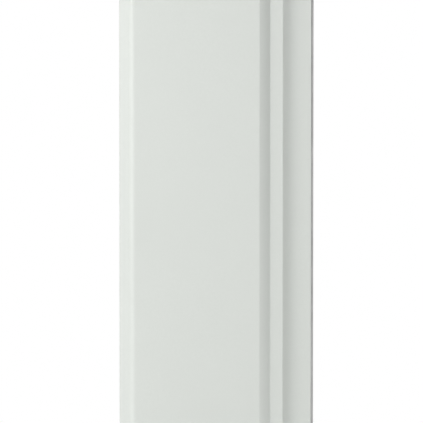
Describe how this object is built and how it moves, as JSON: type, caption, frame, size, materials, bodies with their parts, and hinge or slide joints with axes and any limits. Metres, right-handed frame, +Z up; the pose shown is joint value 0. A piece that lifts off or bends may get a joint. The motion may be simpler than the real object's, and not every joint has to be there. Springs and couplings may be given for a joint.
{
  "type": "security gate",
  "caption": "Floor-standing antenna pedestal of a shop's anti-theft gate, with a stepped grey casing, alarm lamp, service door and lift-up plinth cover.",
  "frame": {"origin": "on the floor, under the middle of the pedestal", "axes": "+Z up, X along the pedestal's width, and -Y out of the front, whose steps are on its +X side"},
  "size_m": [0.42, 0.2, 1.56],
  "materials": {
    "shell_grey": "light grey, finely textured moulding",
    "lamp_red": "translucent red",
    "rubber_dark": "matt",
    "steel_zinc": "zinc plated",
    "steel_painted": "powder coated",
    "aluminium": "mill finish",
    "former_black": "moulded",
    "coil_copper": "enamelled copper wire",
    "board_green": "circuit board and terminal green",
    "plastic_black": "moulded",
    "plastic_white": "moulded",
    "capacitor_blue": "sleeved",
    "cable_grey": "cable sheath",
    "button_red": "moulded"
  },
  "bodies": {
    "column": {"anchor_bolt_1": "steel_zinc", "anchor_bolt_2": "steel_zinc", "anchor_bolt_3": "steel_zinc", "anchor_bolt_4": "steel_zinc", "anchor_washer_1": "steel_zinc", "anchor_washer_2": "steel_zinc", "anchor_washer_3": "steel_zinc", "anchor_washer_4": "steel_zinc", "base_plate": "steel_painted", "button_housing": "plastic_black", "cable_grommet": "rubber_dark", "capacitor_1": "capacitor_blue", "capacitor_2": "capacitor_blue", "capacitor_3": "capacitor_blue", "chassis": "steel_zinc", "coil_carrier_lower": "former_black", "coil_carrier_upper": "former_black", "coil_lower": "coil_copper", "coil_upper": "coil_copper", "crossbar_lower": "aluminium", "crossbar_middle": "aluminium", "crossbar_upper": "aluminium", "foot_bracket_left": "steel_painted", "foot_bracket_right": "steel_painted", "front_shell": "shell_grey", "front_shell_screw_1": "steel_zinc", "front_shell_screw_2": "steel_zinc", "heatsink": "aluminium", "hinge_fixed_leaf_lower": "steel_zinc", "hinge_fixed_leaf_upper": "steel_zinc", "hinge_pin_lower": "steel_zinc", "hinge_pin_upper": "steel_zinc", "lamp_board": "board_green", "lamp_lead": "cable_grey", "lamp_lens": "lamp_red", "main_board": "board_green", "mains_terminals": "plastic_black", "power_supply": "aluminium", "rear_shell": "shell_grey", "rear_shell_screw_1": "steel_zinc", "rear_shell_screw_2": "steel_zinc", "seam_bead_left": "rubber_dark", "seam_bead_right": "rubber_dark", "signal_terminals": "board_green", "sounder": "plastic_black", "switch_housing": "plastic_black", "top_cap": "shell_grey", "upright_left": "aluminium", "upright_right": "aluminium", "volume_body": "plastic_black"},
    "door": {"door_panel": "shell_grey", "hinge_door_leaf_lower": "steel_zinc", "hinge_door_leaf_upper": "steel_zinc", "lock_housing": "steel_zinc"},
    "lock": {"lock_plug": "steel_zinc", "lock_cam": "steel_zinc"},
    "plinth": {"plinth_cover": "shell_grey"},
    "switch": {"switch_rocker": "plastic_white"},
    "button": {"reset_button": "button_red"},
    "knob": {"volume_knob": "plastic_white"}
  },
  "joints": [
    {"name": "door_hinge", "type": "hinge", "parent": "column", "child": "door", "pos_m": [-0.041, 0.0427, 0.38], "axis": [0, 0, 1], "range_deg": [0, 110]},
    {"name": "lock_turn", "type": "hinge", "parent": "door", "child": "lock", "pos_m": [0.098, 0.0391, 0.38], "axis": [0, -1, 0], "range_deg": [0, 90]},
    {"name": "plinth_lift", "type": "slide", "parent": "column", "child": "plinth", "axis": [0, 0, 1], "range_m": [0, 0.12]},
    {"name": "switch_rock", "type": "hinge", "parent": "column", "child": "switch", "pos_m": [0.06, 0.019, 0.478], "axis": [-1, 0, 0], "range_deg": [0, 18]},
    {"name": "reset_press", "type": "slide", "parent": "column", "child": "button", "axis": [0, -1, 0], "range_m": [0, 0.0012], "stiffness_N_per_m": 300, "springref_m": -0.0005},
    {"name": "volume_turn", "type": "hinge", "parent": "column", "child": "knob", "pos_m": [-0.01, 0.0087, 0.43], "axis": [0, 1, 0], "range_deg": [-135, 135]}
  ]
}
